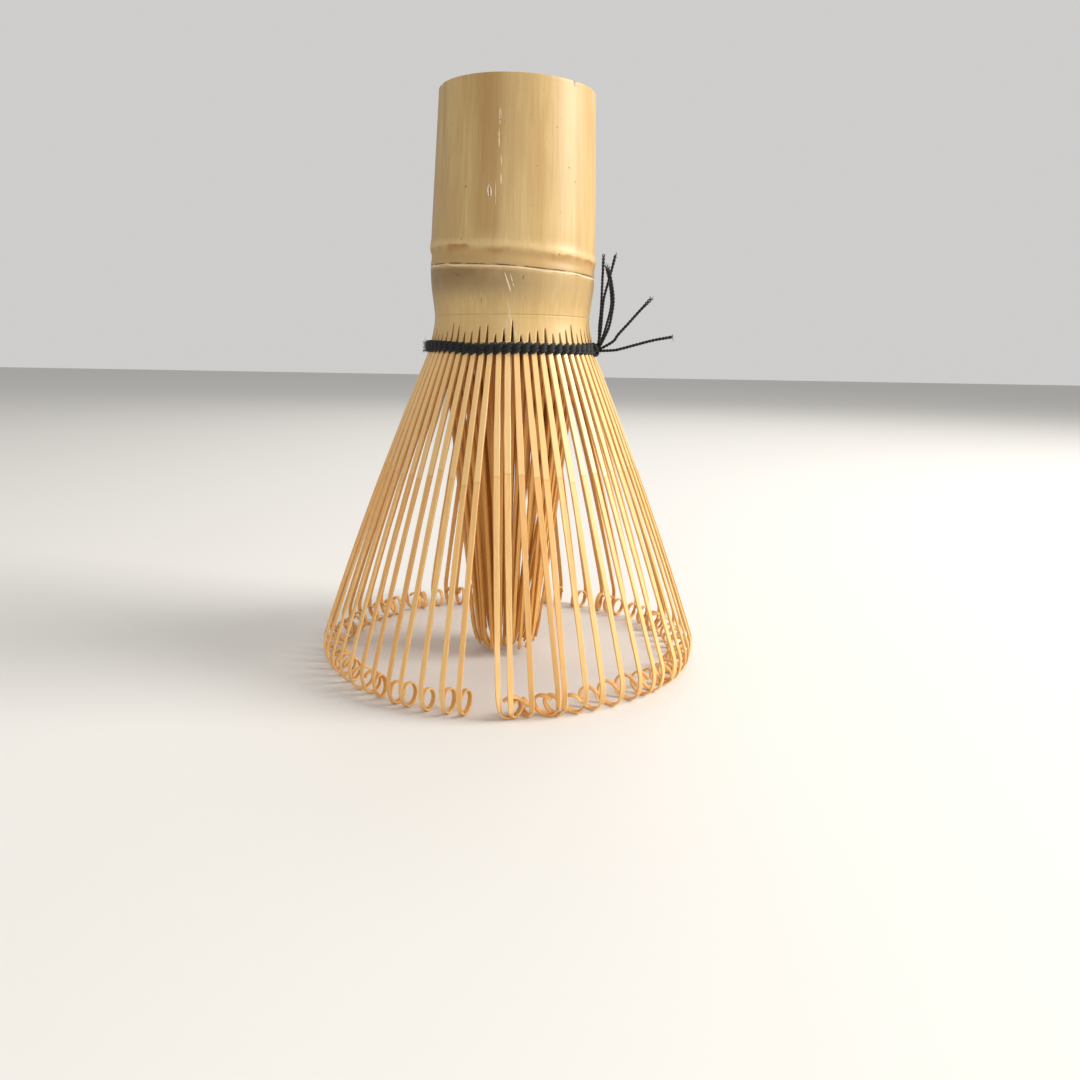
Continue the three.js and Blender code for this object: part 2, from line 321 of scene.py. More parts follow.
def make_culm(skin, cut):
    """The grip as one closed surface: rows go from the middle of the septum's lower face out
    and down the lower bore, out across the foot, up the outside, over the rim and down the
    bore to the middle of the septum's upper face."""
    angle = np.arange(GRIP_COLUMNS) * TURN / GRIP_COLUMNS
    ones = np.ones_like(angle)
    rows = []
    dome = np.linspace(0.06, 1, 14)

    def row(radius, depth, kind):
        rows.append((radius * ones, settle(depth * ones, angle), kind))

    for t in dome:
        row(BORE_RADIUS * t, SEPTUM_LOWER + 0.5 * t**4, 0)
    for depth in np.linspace(28.2, FOOT_DEPTH, 8):
        row(BORE_RADIUS + 0.05 * waves(angle, 31, 12), depth, 0)
    for radius in np.linspace(9.8, 12.6, 5):
        row(radius, FOOT_DEPTH, 0)
    outside = ((FOOT_DEPTH, 30.6, 22), (30.4, 26.6, 58), (26.4, 22.5, 24), (22.1, 0.6, 60))
    for depth in np.concatenate([np.linspace(*stretch) for stretch in outside]):
        row(culm_radius(depth * ones, angle), depth, 1)
    chips = rim_chips(angle)
    bevel = 0.16 + chips
    top = culm_radius(0.6 * ones, angle)
    for t in np.linspace(0.1, 1, 7):
        turn = t * math.pi / 2
        row(top - bevel * (1 - math.cos(turn)), bevel * 0.9 * (1 - math.sin(turn)), 1)
    saw = 0.03 * waves(angle, 41, 30)
    for t in np.linspace(0.1, 0.9, 12):
        outer = top - bevel
        row(outer + (BORE_RADIUS + 0.25 - outer) * t, saw * math.sin(t * math.pi) ** 2, 2)
    row(BORE_RADIUS + 0.12, 0.04, 2)
    for depth in np.concatenate([[0.2, 0.6], np.linspace(1.4, 23.4, 26)]):
        row(BORE_RADIUS + 0.06 * waves(angle, 33, 14), depth, 3)
    for t in dome[::-1]:
        row(BORE_RADIUS * t - 0.02, SEPTUM_UPPER - 0.8 * t**6, 3)
    radius = np.array([r for r, _, _ in rows])
    depth = np.array([d for _, d, _ in rows])
    kinds = np.array([k for _, _, k in rows])
    points = place_rows(radius, depth, angle).reshape(-1, 3)
    count = len(rows) * GRIP_COLUMNS
    poles = np.array([[0, 0, HEIGHT - SEPTUM_LOWER], [0, 0, HEIGHT - SEPTUM_UPPER]])
    faces = grid_faces(len(rows), GRIP_COLUMNS, True).tolist()
    cut_rows = kinds[:-1] != 1
    material_of_face = np.repeat(cut_rows.astype(int), GRIP_COLUMNS).tolist()
    under_foot = (depth[:-1].min(1) > FOOT_DEPTH - 0.01) & (kinds[1:] == 0)
    flat = np.repeat(under_foot, GRIP_COLUMNS).tolist()
    last = (len(rows) - 1) * GRIP_COLUMNS
    for c in range(GRIP_COLUMNS):
        n = (c + 1) % GRIP_COLUMNS
        faces.append([count, n, c])
        faces.append([count + 1, last + c, last + n])
        material_of_face += [1, 1]
        flat += [False, False]
    share = np.broadcast_to(angle / TURN, radius.shape)
    uv = np.stack([share, depth / 100], -1).reshape(-1, 2)
    uv = np.vstack([uv, [[0.5, SEPTUM_LOWER / 100], [0.5, SEPTUM_UPPER / 100]]])
    values = culm_values(depth, angle, radius)
    values = {key: np.append(value.ravel(), [0, 0]) for key, value in values.items()}
    points = np.vstack([points, poles])
    obj = build("grip_culm", points, faces, uv, values, [skin, cut], material_of_face, flat)
    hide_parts("handle_culm")
    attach(obj, "handle")


def from_front(radius, angle):
    """The distance in mm round the culm from the middle of its front, to the right."""
    return radius * ((angle + math.pi / 2 + math.pi) % TURN - math.pi)


def culm_values(depth, angle, radius):
    """What the culm's materials read: the depth, the depths below the node ring and the scar,
    and the distance round from the front."""
    return {"depth": depth, "below_node": depth - node_depth(angle),
            "below_scar": depth - scar_depth(angle),
            "across": from_front(radius, angle % TURN)}


def make_fingers(skin, cut, notches):
    """The foot of the culm, where 64 splits open into gaps. A closed ring of rows: down the
    outside, in across the lower end, up the bore and out again. The columns follow the splits:
    each has a floor, two walls and a face between it and the next. A split's half width grows
    as a power of the depth below its point, and its floor drops away just under the point."""
    depths = np.concatenate([np.linspace(FOOT_DEPTH, 36.0, 5), np.linspace(36.1, FINGER_DEPTH, 40)])
    opening = rng.uniform(0.2, 0.3, TINES)
    t = np.clip((depths[:, None] - notches) / (FINGER_DEPTH - notches), 0, 1)
    half = 0.02 + opening * t**0.7
    deep = 2.4 * np.clip((depths[:, None] - notches) / 0.9, 0, 1)
    start = np.arange(TINES) * PITCH
    skin_radius = outline(depths)[:, None]
    left, right = half / skin_radius, np.roll(half, -1, 1) / skin_radius
    angles, sunk = [start + 0 * left, start + 0.8 * left], [deep, deep]
    for f in np.linspace(0, 1, 6):
        angles.append(start + left + (PITCH - left - right) * f)
        sunk.append(0 * deep)
    angles.append(start + PITCH - 0.8 * right)
    sunk.append(np.roll(deep, -1, 1))
    angle = np.stack(angles, -1).reshape(len(depths), -1)
    radius = culm_radius(depths[:, None], angle) - np.stack(sunk, -1).reshape(len(depths), -1)
    columns = angle.shape[1]
    lower = np.linspace(1, 0, 5)[1:, None] * (radius[-1] - BORE_RADIUS) + BORE_RADIUS
    bore_depths = np.linspace(FINGER_DEPTH, FOOT_DEPTH, 6)[1:]
    radius = np.vstack([radius, lower, np.full((5, columns), BORE_RADIUS)])
    depth = np.concatenate([depths, np.full(4, FINGER_DEPTH), bore_depths])
    depth = np.repeat(depth[:, None], columns, axis=1)
    angle = np.vstack([angle, np.broadcast_to(angle[-1], (9, columns))])
    rows = len(depth)
    points = place_rows(radius, depth, angle).reshape(-1, 3)
    faces = grid_faces(rows, columns, True)
    here, after = np.arange(columns), (np.arange(columns) + 1) % columns
    last = (rows - 1) * columns
    closing = np.stack([last + here, last + after, after, here], -1)
    faces = np.vstack([faces, closing])[:, ::-1]
    place = np.arange(columns) % FINGER_COLUMNS
    column = np.tile(place, rows)
    wall = (column < 2) | (column >= 7)
    outside = np.repeat(np.arange(rows) < len(depths) - 1, columns)
    split = (np.arange(columns) // FINGER_COLUMNS + (place >= 7)) % TINES
    still_closed = (depth < notches[split]).ravel() & outside
    bare = (wall | ~outside) & ~still_closed
    uv = np.stack([angle / TURN, depth / 100], -1).reshape(-1, 2)
    values = culm_values(depth, angle, radius)
    obj = build("culm_fingers", points, faces, uv, values, [skin, cut], np.where(bare, 1, 0), bare)
    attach(obj, "handle")


# ---- tines

HINGE_DEPTH = 40.7
THREAD_HEIGHT = HEIGHT - 40.3
TINE_TOP_DEPTH = 39.4
OUTER_ROOT_RADIUS = 13.6
FLARE_FROM, FLARE_TO, FLARE_LENGTH = 24.0, 18.8, 52.2
SHOULDER_RADIUS, SHOULDER_TO = 5.5, -20.0
INNER_ROOT_RADIUS = 11.3
TIP_RINGS = (5.6, 4.1, 2.6)
RING_OF_TINE = (0, 1, 0, 2)
BRUSH_LEAN = 0.7
PEEL_DEPTH = 59.9
LOWEST_POINT = 0.05
WIDEST_REACH = 33.05
# A tine's section in half widths and half thicknesses. Its skin side has the second above 0.
SECTION = np.array([(-1, -0.7), (-0.8, -1), (0.8, -1), (1, -0.7), (1, 0.75), (0.88, 1), (-0.88, 1),
                    (-1, 0.75)])
SIDES = len(SECTION)
# How far the foot of each front tine has strayed to the right, in mm, how far its curl has
# twisted to the right, in degrees, and the radius of its curl, in mm. Tine 47 is just left of
# the middle of the front.
STRAY = {33: 0.2, 34: 0.4, 35: 0.8, 36: 1.2, 37: 1.6, 38: 2.0, 39: 2.0, 40: 1.8, 41: 1.8, 42: 0.9,
         43: 1.2, 44: 1.4, 45: 0.8, 46: 3.5, 47: 2.0, 48: 1.9, 49: 2.65, 50: 0.4, 51: 0.6, 52: 0.2,
         53: 0.6, 54: 1.2, 55: 1.2, 56: 0.4, 57: 1.4, 58: 0.6}
TWIST = {44: 6, 45: 10, 46: 62, 47: 34, 48: -30, 49: -58, 50: -38, 51: -48, 52: -26, 53: -20,
         54: -14, 55: -8}
CURL = {46: 1.9, 47: 1.45, 48: 1.5, 49: 2.0, 50: 1.8, 51: 1.7, 52: 2.0, 53: 2.1, 54: 2.2, 55: 2.0}


def notch_depths():
    """Where each of the splits between the tines comes to its point above the thread."""
    base = np.where(np.arange(TINES) % 4 == 0, 37.0, 37.8)
    return base + rng.uniform(-0.9, 0.6, TINES)


def slat(centre, across, half_width, thickness):
    """Rows of a slat's section: its width runs along across, made square to the path, and its
    thickness along the tangent crossed with that, which points away from the axis."""
    tangent = unit(np.gradient(centre, axis=0))
    across = made_square(across, tangent)
    out = np.cross(tangent, across)
    u, v = SECTION[:, 0], SECTION[:, 1]
    return (centre[:, None] + across[:, None] * (u * half_width[:, None])[..., None]
            + out[:, None] * (v * thickness[:, None] / 2)[..., None])


def turned_to(points, angle):
    """Points given as out, across and up, turned to stand at an angle round the axis."""
    c, s = math.cos(angle), math.sin(angle)
    out, across, up = points[..., 0], points[..., 1], points[..., 2]
    return np.stack([out * c - across * s, out * s + across * c, up], -1)


def arc(leans, radius):
    """An arc run through falling leans from the upright, as distances outwards and down."""
    r = np.radians(leans)
    return radius * (np.cos(r) - math.cos(r[0])), radius * (math.sin(r[0]) - np.sin(r))


def outer_path(tilt, stray, curl_radius, curl_turn, twist, reach):
    """An outer tine's middle line in its own out, across and up axes: a short run under the
    thread, two arcs of falling lean, and last a curl: a slightly closing circle in a plane
    twisted about the tine. Straying adds a sideways distance that grows as the power 1.2 of
    the drop. Returns the line, the side vectors and the row where the free part starts."""
    root = np.linspace(0, 1, 5)
    wall_radius = outline(np.array([TINE_TOP_DEPTH]))[0] - 0.36
    wall = np.stack([wall_radius + (OUTER_ROOT_RADIUS - wall_radius) * root, 0 * root,
                     HEIGHT - TINE_TOP_DEPTH - (HINGE_DEPTH - TINE_TOP_DEPTH) * root], -1)
    flare = np.linspace(FLARE_FROM + tilt, FLARE_TO + tilt, 40)
    out_a, drop_a = arc(flare, FLARE_LENGTH * reach / math.radians(FLARE_FROM - FLARE_TO))
    out_b, drop_b = arc(np.linspace(flare[-1], SHOULDER_TO, 18), SHOULDER_RADIUS)
    out = np.concatenate([out_a, out_a[-1] + out_b[1:]])
    drop = np.concatenate([drop_a, drop_a[-1] + drop_b[1:]])
    aside = stray * (drop / drop[-1]) ** 1.2
    line = np.stack([OUTER_ROOT_RADIUS + out, aside, wall[-1, 2] - drop], -1)
    down = math.radians(SHOULDER_TO)
    tangent = unit(line[-1] - line[-2])
    inward = np.array([-math.cos(down), 0, -math.sin(down)])
    side = np.cross(tangent, inward)
    bend = inward * math.cos(math.radians(twist)) + side * math.sin(math.radians(twist))
    bend = unit(bend - tangent * (bend @ tangent))
    turn = np.radians(np.linspace(0, curl_turn, 40))
    radius = curl_radius * (1 - 0.16 * turn / turn[-1])
    heading = np.cos(turn)[:, None] * tangent + np.sin(turn)[:, None] * bend
    span = np.diff(turn) * (radius[1:] + radius[:-1]) / 2
    stride = (heading[1:] + heading[:-1]) / 2 * span[:, None]
    hop = np.linspace(0, 0.35, 40)[1:, None] * np.cross(bend, tangent)
    curl = line[-1] + np.cumsum(stride, 0) + hop
    centre = np.vstack([wall, line[1:], curl])
    ahead = unit(np.gradient(centre, axis=0))
    flat_side = np.broadcast_to([0.0, 1.0, 0.0], centre.shape)
    flat_side = made_square(flat_side, ahead)
    other = np.cross(ahead, flat_side)
    turned = np.concatenate([np.zeros(len(wall) + 24), np.linspace(0, 1, len(line) - 25) ** 1.5])
    angle = math.radians(twist) * turned
    c, s = np.cos(angle)[:, None], np.sin(angle)[:, None]
    before = flat_side[:-len(curl)] * c - other[:-len(curl)] * s
    after = np.broadcast_to(np.cross(tangent, bend), curl.shape)
    return centre, np.vstack([before, after]), len(wall)


def bend_at_thread(obj):
    """Bakes the tines' placement into their mesh; nothing is bent at the thread."""
    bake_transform(obj)


def tine_values(rows, s, depth, k, peel, skin):
    """What a tine's material reads: its own tone, the distance in mm below the line where the
    skin was shaved off, which of its sides a point is on, and its depth; and its texture places."""
    uv = section_uv(SECTION[:, 0] * 0.5 + k, s / 100, rows.shape[:2])
    values = dict(tone=rng.uniform(0, 1), below_peel=(depth - peel)[:, None],
                  skin=skin * (SECTION[:, 1] > 0.5), back=1.0 * (SECTION[:, 1] < -0.9),
                  depth=depth[:, None])
    return uv, values


def make_outer_staves(material):
    for stave in range(STAVES):
        solids = Solids()
        for k in range(stave * TINES_PER_STAVE, (stave + 1) * TINES_PER_STAVE):
            tilt = rng.normal(0, 0.3)
            stray = STRAY.get(k, rng.normal(0, 0.6))
            curl_radius = CURL.get(k, rng.uniform(1.7, 1.95))
            curl_turn = rng.uniform(305, 352)
            twist = TWIST.get(k, rng.normal(0, 11))
            reach = 1 + rng.normal(0, 0.003)
            centre, across, free_row = outer_path(tilt, stray, curl_radius, curl_turn, twist, reach)
            s = path_length(centre)
            depth = HEIGHT - centre[:, 2]
            free = np.clip((s - s[free_row]) / (s[-1] - s[free_row]), 0, 1)
            knife = 1 + 0.04 * np.sin(s * rng.uniform(0.3, 0.7) + rng.uniform(0, 6))
            half_width = 0.41 + 0.1 * np.clip(free * 5, 0, 1) - 0.15 * free
            half_width = half_width * knife * rng.uniform(0.93, 1.07)
            thickness = 0.72 - 0.26 * np.clip(free * 4, 0, 1) - 0.16 * free
            rows = slat(centre, across, half_width, thickness)
            rows[..., 2] += max(0.0, LOWEST_POINT - rows[..., 2].min()) * free[:, None]
            rows[..., 0] -= max(0.0, rows[..., 0].max() - WIDEST_REACH) * free[:, None]
            uv, values = tine_values(rows, s, depth, k, PEEL_DEPTH + rng.normal(0, 0.6), 1.0)
            solids.add(turned_to(rows, (k + 0.5) * PITCH), uv, **values)
        name = f"outer_stave_{stave + 1:02d}"
        obj = solids.build(f"outer_tines_{stave + 1:02d}", [material], SIDES)
        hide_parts(name)
        bend_at_thread(obj)


def make_inner_staves(material):
    for stave in range(STAVES):
        solids = Solids()
        gather = rng.normal(0, 0.5)
        for j in range(TINES_PER_STAVE):
            k = stave * TINES_PER_STAVE + j
            tip = TIP_RINGS[RING_OF_TINE[j]] + rng.uniform(-0.6, 0.3)
            tip_height = 1.5 + rng.uniform(-0.5, 1.2)
            top = HEIGHT - TINE_TOP_DEPTH - 0.4
            z = top + (tip_height - top) * np.linspace(0, 1, 40)
            drop = np.clip((HEIGHT - HINGE_DEPTH - z) / (HEIGHT - HINGE_DEPTH - tip_height), 0, 1)
            bulge = rng.uniform(-0.3, 0.6) * np.sin(math.pi * drop)
            out = INNER_ROOT_RADIUS + (tip - INNER_ROOT_RADIUS) * drop - bulge
            weave = 0.2 * np.sin(drop * rng.uniform(3, 6) + rng.uniform(0, 6)) * drop
            hook = np.clip((drop - 0.93) / 0.07, 0, 1) ** 2 * rng.uniform(0.1, 0.9)
            aside = (gather + rng.normal(0, 0.25)) * drop**1.1 * tip / 6 + weave
            centre = np.stack([out - hook, aside, z], -1)
            across = np.broadcast_to([0.0, 1.0, 0.0], centre.shape)
            rows = slat(centre, across, 0.38 - 0.13 * drop, 0.6 - 0.22 * drop)
            uv, values = tine_values(rows, path_length(centre), HEIGHT - z, k + 70, 20, 0.0)
            rows = turned_to(rows, (k + 0.5 + rng.uniform(-0.28, 0.28)) * PITCH)
            rows[..., 0] -= BRUSH_LEAN * drop[:, None]
            solids.add(rows, uv, **values)
        name = f"inner_stave_{stave + 1:02d}"
        obj = solids.build(f"inner_tines_{stave + 1:02d}", [material], SIDES)
        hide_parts(name)
        bend_at_thread(obj)


# ---- thread

BAND_ROWS = (-0.5, 0.0, 0.5)
CORE_ROWS = (-0.5, 0.05, 0.6)
BAND_RADIUS, CORE_RADIUS = 13.95, 12.5
STRAND_RADIUS = 0.27
KNOT_ANGLE, KNOT_RADIUS = math.radians(-17), 14.55


def band_height(angle):
    """The binding's height: it sags a little at the front left, and waves."""
    sag = np.exp(-(((np.degrees(angle) + 117 + 180) % 360 - 180) / 17) ** 2)
    return THREAD_HEIGHT - 0.4 * sag + 0.08 * waves(angle, 51, 9)


def make_binding(material):
    """Pairs of strands twined round the roots. A strand runs outside one tine and inside the
    next: its radius is a cosine of 32 times the angle, and its height the matching sine, so
    that the two strands of a pair cross in the gaps between the tines."""
    solids = Solids()
    angle = np.linspace(0, TURN, TINES * 12, endpoint=False)
    for index, level in enumerate(BAND_ROWS):
        for strand in range(2):
            phase = TINES / 2 * angle + math.pi * strand + math.pi / 2
            radius = BAND_RADIUS - 0.1 * level + 0.5 * np.cos(phase)
            radius = radius + 0.05 * waves(angle, 60 + index, 40)
            height = band_height(angle) + level + 0.24 * np.sin(phase)
            ring(solids, radius, height + 0.04 * waves(angle, 70 + index, 50), angle)
    obj = solids.build("binding_strands", [material])
    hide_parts("binding_band")
    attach(obj, "handle")
    core = Solids()
    for level in CORE_ROWS:
        radius = CORE_RADIUS + 0.06 * waves(angle, 80, 30)
        height = 0 * angle + THREAD_HEIGHT - 0.3 + level
        ring(core, radius, height, angle)
    obj = core.build("binding_core_turns", [material])
    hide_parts("binding_core")
    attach(obj, "handle")


def ring(solids, radius, height, angle, sides=8):
    """A closed loop of strand round the axis, its sections in planes through the axis."""
    path = np.stack([radius * np.cos(angle), radius * np.sin(angle), height], -1)
    tangent = unit(np.roll(path, -1, 0) - np.roll(path, 1, 0))
    radial = np.stack([np.cos(angle), np.sin(angle), 0 * angle], -1)
    radial = made_square(radial, tangent)
    upward = np.cross(radial, tangent)
    turn = np.arange(sides) * TURN / sides
    grid = circles(path, STRAND_RADIUS, turn, radial, upward)
    rows, columns = grid.shape[:2]
    i, j = np.meshgrid(np.arange(rows), np.arange(columns), indexing="ij")
    n, k = (i + 1) % rows, (j + 1) % columns
    here, after = i * columns, n * columns
    quads = solids.count + np.stack([here + j, after + j, after + k, here + k], -1)
    solids.faces += quads.reshape(-1, 4).tolist()
    solids.points.append(grid.reshape(-1, 3))
    uv = section_uv(turn / TURN, path_length(path), (rows, columns))
    solids.uv.append(uv.reshape(-1, 2))
    solids.count += rows * columns


# The routes of the six loose ends, as the CAD has them: out, across and up, in mm.
TAILS = [
    [[14.5, -3.9, 55.8], [14.5, -3.8, 57.8], [14.7, -3.6, 60.4], [14.8, -3.3, 64.7], [14.9, -3.1, 69.3]],
    [[14.5, -4.7, 55.9], [14.7, -4.7, 58.0], [15.0, -4.5, 62.0], [15.9, -4.2, 65.6], [16.8, -3.9, 69.2]],
    [[15.1, -3.3, 55.8], [15.8, -3.0, 58.1], [16.5, -2.6, 61.4], [16.2, -2.2, 64.7], [15.5, -1.8, 67.7]],
    [[15.2, -5.3, 55.9], [16.0, -5.3, 57.9], [16.5, -5.4, 61.5], [16.2, -5.2, 64.3], [15.5, -5.0, 67.1]],
    [[16.7, -4.9, 55.3], [17.5, -5.0, 56.4], [19.0, -5.2, 58.1], [20.8, -5.6, 60.2], [22.7, -6.0, 62.3]],
    [[16.9, -5.3, 53.9], [18.2, -5.6, 54.2], [20.3, -5.9, 54.8], [23.2, -6.4, 55.6], [26.3, -7.0, 56.2]],
]


def plied(solids, path, radius, plies, pitch, fray):
    """Plies twisted round a path: each is a tube whose middle goes round the path once every
    pitch, and the last few millimetres spread apart where the thread has frayed."""
    s = path_length(path)
    tangent = unit(np.gradient(path, axis=0))
    side = unit(np.cross(tangent, [0.2, 1.0, 0.1]))
    other = np.cross(tangent, side)
    for p in range(plies):
        turn = TURN * (s / pitch + p / plies)
        spread = radius * 0.52 * (1 + fray * np.clip((s - s[-1] + 2.5) / 2.5, 0, 1) ** 2)
        aside = np.cos(turn)[:, None] * side + np.sin(turn)[:, None] * other
        middle = path + spread[:, None] * aside
        thick = radius * 0.56 * (1 - 0.5 * np.clip((s - s[-1] + 1.2) / 1.2, 0, 1))
        grid = tube(middle, thick, 7)
        solids.add(grid, section_uv(np.arange(7) / 7, s, grid.shape[:2]))


def make_tails(material):
    """The loose ends of the thread, each rooted in the knot."""
    knot = np.array([14.3, -4.4, THREAD_HEIGHT + 0.1])
    for index, knots in enumerate(TAILS):
        solids = Solids()
        lead = [knot + np.array([0, 0, 0.12 * (2 - index)])]
        path = smooth_path(lead + [np.array(p) for p in knots], 90)
        plied(solids, path, 0.25, 2, 1.1, 1.6 if index == 4 else 0.8)
        dice = np.random.default_rng(90 + index)
        for _ in range(6):
            tip = path[-3] + dice.normal(0, 0.08, 3)
            away = unit(path[-1] - path[-6]) + dice.normal(0, 0.4, 3)
            hair = smooth_path([path[-6], tip, tip + away * dice.uniform(0.3, 0.7)], 8)
            solids.add(tube(hair, 0.025, 4))
        obj = solids.build(f"thread_end_{index + 1}", [material])
        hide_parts(f"thread_tail_{index + 1}")
        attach(obj, "handle")


def make_knot(material):
    """An overhand knot pulled tight: a trefoil, scaled to sit against the binding."""
    t = np.linspace(0, TURN, 160, endpoint=False)
    x = np.sin(t) + 2 * np.sin(2 * t)
    y = np.cos(t) - 2 * np.cos(2 * t)
    z = -np.sin(3 * t)
    out, along = out_and_along(KNOT_ANGLE)
    centre = KNOT_RADIUS * out + [0, 0, THREAD_HEIGHT + 0.1]
    path = centre + np.outer(x * 0.3, along) + np.outer(y * 0.36, [0, 0, 1])
    path = path + np.outer(z * 0.34, out)
    solids = Solids()
    path = np.vstack([path, path[:1]])
    solids.add(tube(path, STRAND_RADIUS, 9))
    obj = solids.build("thread_knot", [material])
    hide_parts("binding_knot")
    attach(obj, "handle")


def make_fuzz(material):
    """Short stray fibres standing off the binding."""
    dice = np.random.default_rng(77)
    solids = Solids()
    turns = np.concatenate([dice.uniform(0, TURN, 150), dice.normal(math.pi, 0.14, 110)])
    for a in turns:
        out, along = out_and_along(a)
        root = out * dice.uniform(14.3, 14.75)
        root = root + [0, 0, THREAD_HEIGHT + dice.uniform(-0.9, 0.9)]
        reach = dice.uniform(0.25, 0.9)
        middle = root + out * reach * 0.6 + along * dice.normal(0, 0.25)
        tip = middle + out * reach * 0.1 + along * dice.normal(0, 0.35)
        tip = tip + [0, 0, dice.normal(0, 0.35)]
        solids.add(tube(smooth_path([root, middle, tip], 5), 0.016, 3))
    obj = solids.build("thread_fuzz", [material])
    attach(obj, "handle")


# ---- materials

def srgb(*channels):
    """An 8-bit display colour as linear values."""
    c = np.array(channels) / 255
    return (*np.where(c <= 0.04045, c / 12.92, ((c + 0.055) / 1.055) ** 2.4), 1.0)


class Nodes:
    """A small helper that adds nodes to a tree and links them."""

    def __init__(self, tree):
        self.tree = tree

    def add(self, kind, inputs=None, **settings):
        node = self.tree.nodes.new(kind)
        for key, value in settings.items():
            setattr(node, key, value)
        for key, value in (inputs or {}).items():
            self.put(node.inputs[key], value)
        return node

    def put(self, socket, value):
        if isinstance(value, bpy.types.NodeSocket):
            self.tree.links.new(value, socket)
        else:
            socket.default_value = value

    def math(self, operation, *values, clamp=False):
        node = self.add("ShaderNodeMath", operation=operation, use_clamp=clamp)
        for socket, value in zip(node.inputs, values):
            self.put(socket, value)
        return node.outputs[0]

    def times(self, a, b, clamp=False):
        return self.math("MULTIPLY", a, b, clamp=clamp)

    def plus(self, a, b):
        return self.math("ADD", a, b)

    def less(self, a, b, clamp=False):
        return self.math("SUBTRACT", a, b, clamp=clamp)

    def mix(self, factor, a, b):
        node = self.add("ShaderNodeMix", data_type="RGBA")
        self.put(node.inputs[0], factor)
        self.put(node.inputs[6], a)
        self.put(node.inputs[7], b)
        return node.outputs[2]

    def tint(self, base, mask, strength, colour):
        """The base mixed towards a colour where the mask is, as far as the strength."""
        return self.mix(self.times(mask, strength), base, colour)

    def step(self, value, low, high, out_low=0.0, out_high=1.0):
        """A smooth step of value from low to high."""
        node = self.add("ShaderNodeMapRange", {"Value": value, "From Min": low, "From Max": high,
                        "To Min": out_low, "To Max": out_high}, interpolation_type="SMOOTHSTEP")
        return node.outputs["Result"]

    def noise(self, vector, scale, detail=2.0, rough=0.5):
        node = self.add("ShaderNodeTexNoise", {"Vector": vector, "Scale": scale, "Detail": detail,
                                               "Roughness": rough})
        return node.outputs["Fac"]

    def stretched(self, vector, scale):
        node = self.add("ShaderNodeMapping", {"Vector": vector, "Scale": scale})
        return node.outputs[0]

    def attribute(self, name):
        return self.add("ShaderNodeAttribute", attribute_name=name).outputs["Fac"]


def new_group(name, inputs, outputs):
    """A node group with a vector input, number inputs with defaults, and number outputs. It
    gives the group, its helper, and the sockets inside it to read from and to write to."""
    group = bpy.data.node_groups.new(name, "ShaderNodeTree")
    face = group.interface
    face.new_socket("Vector", in_out="INPUT", socket_type="NodeSocketVector")
    for key, value in inputs.items():
        face.new_socket(key, in_out="INPUT", socket_type="NodeSocketFloat").default_value = value
    for key in outputs:
        face.new_socket(key, in_out="OUTPUT", socket_type="NodeSocketFloat")
    n = Nodes(group)
    return group, n, n.add("NodeGroupInput").outputs, n.add("NodeGroupOutput").inputs


def fibre_group():
    """Bamboo fibre: thin streaks along the grain and broader bands of tone, from a vector
    whose last axis runs along the grain, in metres."""
    group, n, given, wanted = new_group("bamboo_fibre", {"Across": 2200.0, "Along": 60.0},
                                        ("Streak", "Tone"))
    scale = n.add("ShaderNodeCombineXYZ",
                  {"X": given["Across"], "Y": given["Across"], "Z": given["Along"]})
    fine = n.add("ShaderNodeVectorMath", operation="MULTIPLY")
    n.put(fine.inputs[0], given["Vector"])
    n.put(fine.inputs[1], scale.outputs[0])
    n.put(wanted["Streak"], n.noise(fine.outputs[0], 1.0, 3.0, 0.6))
    n.put(wanted["Tone"], n.noise(fine.outputs[0], 0.16, 2.0, 0.5))
    return group


def speckle_group():
    """Scattered specks: where a noise rises above a threshold, kept to a mask."""
    group, n, given, wanted = new_group("speckle", {"Scale": 900.0, "Threshold": 0.66, "Mask": 1.0},
                                        ("Amount",))
    value = n.noise(given["Vector"], given["Scale"], 3.0, 0.55)
    above = n.less(value, given["Threshold"])
    sharp = n.times(above, 14.0, clamp=True)
    n.put(wanted["Amount"], n.times(sharp, given["Mask"]))
    return group


def material(name):
    """A new material: its node helper and its Principled shader."""
    made = bpy.data.materials.new(name)
    made.use_nodes = True
    n = Nodes(made.node_tree)
    shader = made.node_tree.nodes["Principled BSDF"]
    return made, n, shader


def bump(n, shader, height, strength, distance):
    node = n.add("ShaderNodeBump", {"Height": height, "Strength": strength, "Distance": distance})
    n.put(shader.inputs["Normal"], node.outputs[0])


def use_group(n, group, **inputs):
    node = n.add("ShaderNodeGroup", node_tree=group)
    for key, value in inputs.items():
        n.put(node.inputs[key], value)
    return node.outputs


